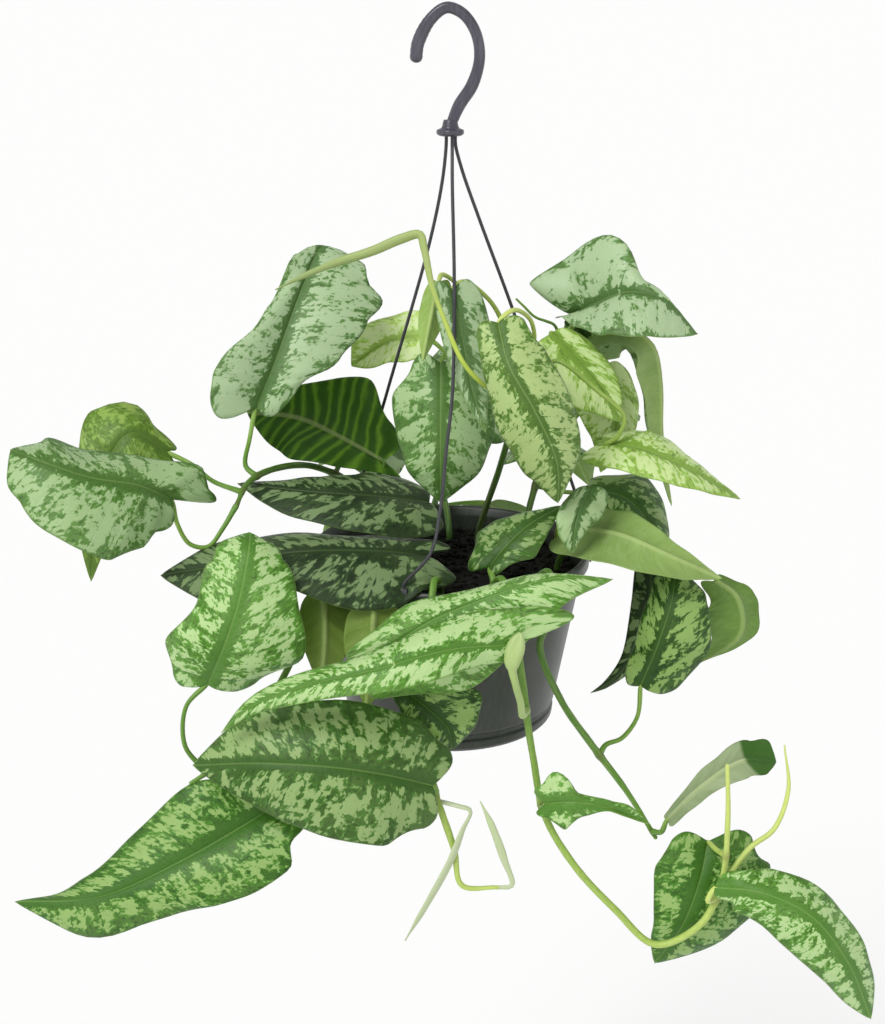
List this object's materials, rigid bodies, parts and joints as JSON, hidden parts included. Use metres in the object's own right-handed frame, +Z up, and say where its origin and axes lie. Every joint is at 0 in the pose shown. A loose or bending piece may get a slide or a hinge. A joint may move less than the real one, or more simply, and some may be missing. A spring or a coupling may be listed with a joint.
{
  "type": "potted trailing house plant",
  "caption": "Trailing satin pothos with silver-flecked heart-shaped leaves in a round hanging nursery pot with a strand hanger and hook.",
  "frame": {"origin": "the inside of the hook's crown, where the rail that carries the pot touches it", "axes": "+Z up along the hanger to the hook, +X to the right and +Y away from a viewer who faces the plant"},
  "size_m": [0.4421, 0.2934, 0.5028],
  "materials": {
    "pot_plastic": "satin dark grey moulded plastic",
    "hook_plastic": "satin slate grey moulded plastic",
    "strand_plastic": "thin dark flexible plastic",
    "potting_soil": "dark crumbly peat potting mix",
    "green_stem": "smooth green stem, yellow-green where young",
    "satin_leaf": "satin green leaf blotched with silver"
  },
  "bodies": {
    "root": {"pot": "pot_plastic", "soil": "potting_soil", "hook": "hook_plastic", "strand_front": "strand_plastic", "strand_left": "strand_plastic", "strand_right": "strand_plastic", "vine_front": "green_stem", "vine_right": "green_stem", "vine_left": "green_stem", "vine_low_left": "green_stem", "vine_low_middle": "green_stem", "vine_centre": "green_stem", "vine_back_right": "green_stem", "vine_low_right": "green_stem", "vine_back": "green_stem", "leaf_silver_left": "satin_leaf", "leaf_inner_left": "satin_leaf", "leaf_lime_left": "satin_leaf", "leaf_folded_top": "satin_leaf", "leaf_upright_top": "satin_leaf", "leaf_round_centre": "satin_leaf", "leaf_long_centre": "satin_leaf", "leaf_behind_right": "satin_leaf", "leaf_round_right": "satin_leaf", "leaf_silver_right": "satin_leaf", "leaf_dark_under": "satin_leaf", "leaf_folded_right": "satin_leaf", "leaf_pointed_right": "satin_leaf", "leaf_shade_right": "satin_leaf", "leaf_twisted_right": "satin_leaf", "leaf_bright_soil": "satin_leaf", "leaf_round_low_right": "satin_leaf", "leaf_hanging_right": "satin_leaf", "leaf_tail_right": "satin_leaf", "leaf_shade_upper": "satin_leaf", "leaf_shade_lower": "satin_leaf", "leaf_heart_left": "satin_leaf", "leaf_olive_left": "satin_leaf", "leaf_vivid_left": "satin_leaf", "leaf_front_right": "satin_leaf", "leaf_front_long": "satin_leaf", "leaf_broad_low": "satin_leaf", "leaf_pointed_low": "satin_leaf", "leaf_green_low": "satin_leaf", "leaf_olive_front": "satin_leaf", "leaf_olive_middle": "satin_leaf", "leaf_small_front": "satin_leaf", "leaf_pale_low_right": "satin_leaf", "leaf_heart_low_right": "satin_leaf", "leaf_arched_tip": "satin_leaf", "leaf_soil_leaf": "satin_leaf", "leaf_back_low": "satin_leaf", "leaf_back_drop": "satin_leaf", "leaf_back_spread": "satin_leaf", "leaf_back_reach": "satin_leaf", "leaf_back_upright": "satin_leaf", "leaf_back_hidden": "satin_leaf", "leaf_back_right": "satin_leaf", "leaf_back_under": "satin_leaf"}
  },
  "joints": []
}
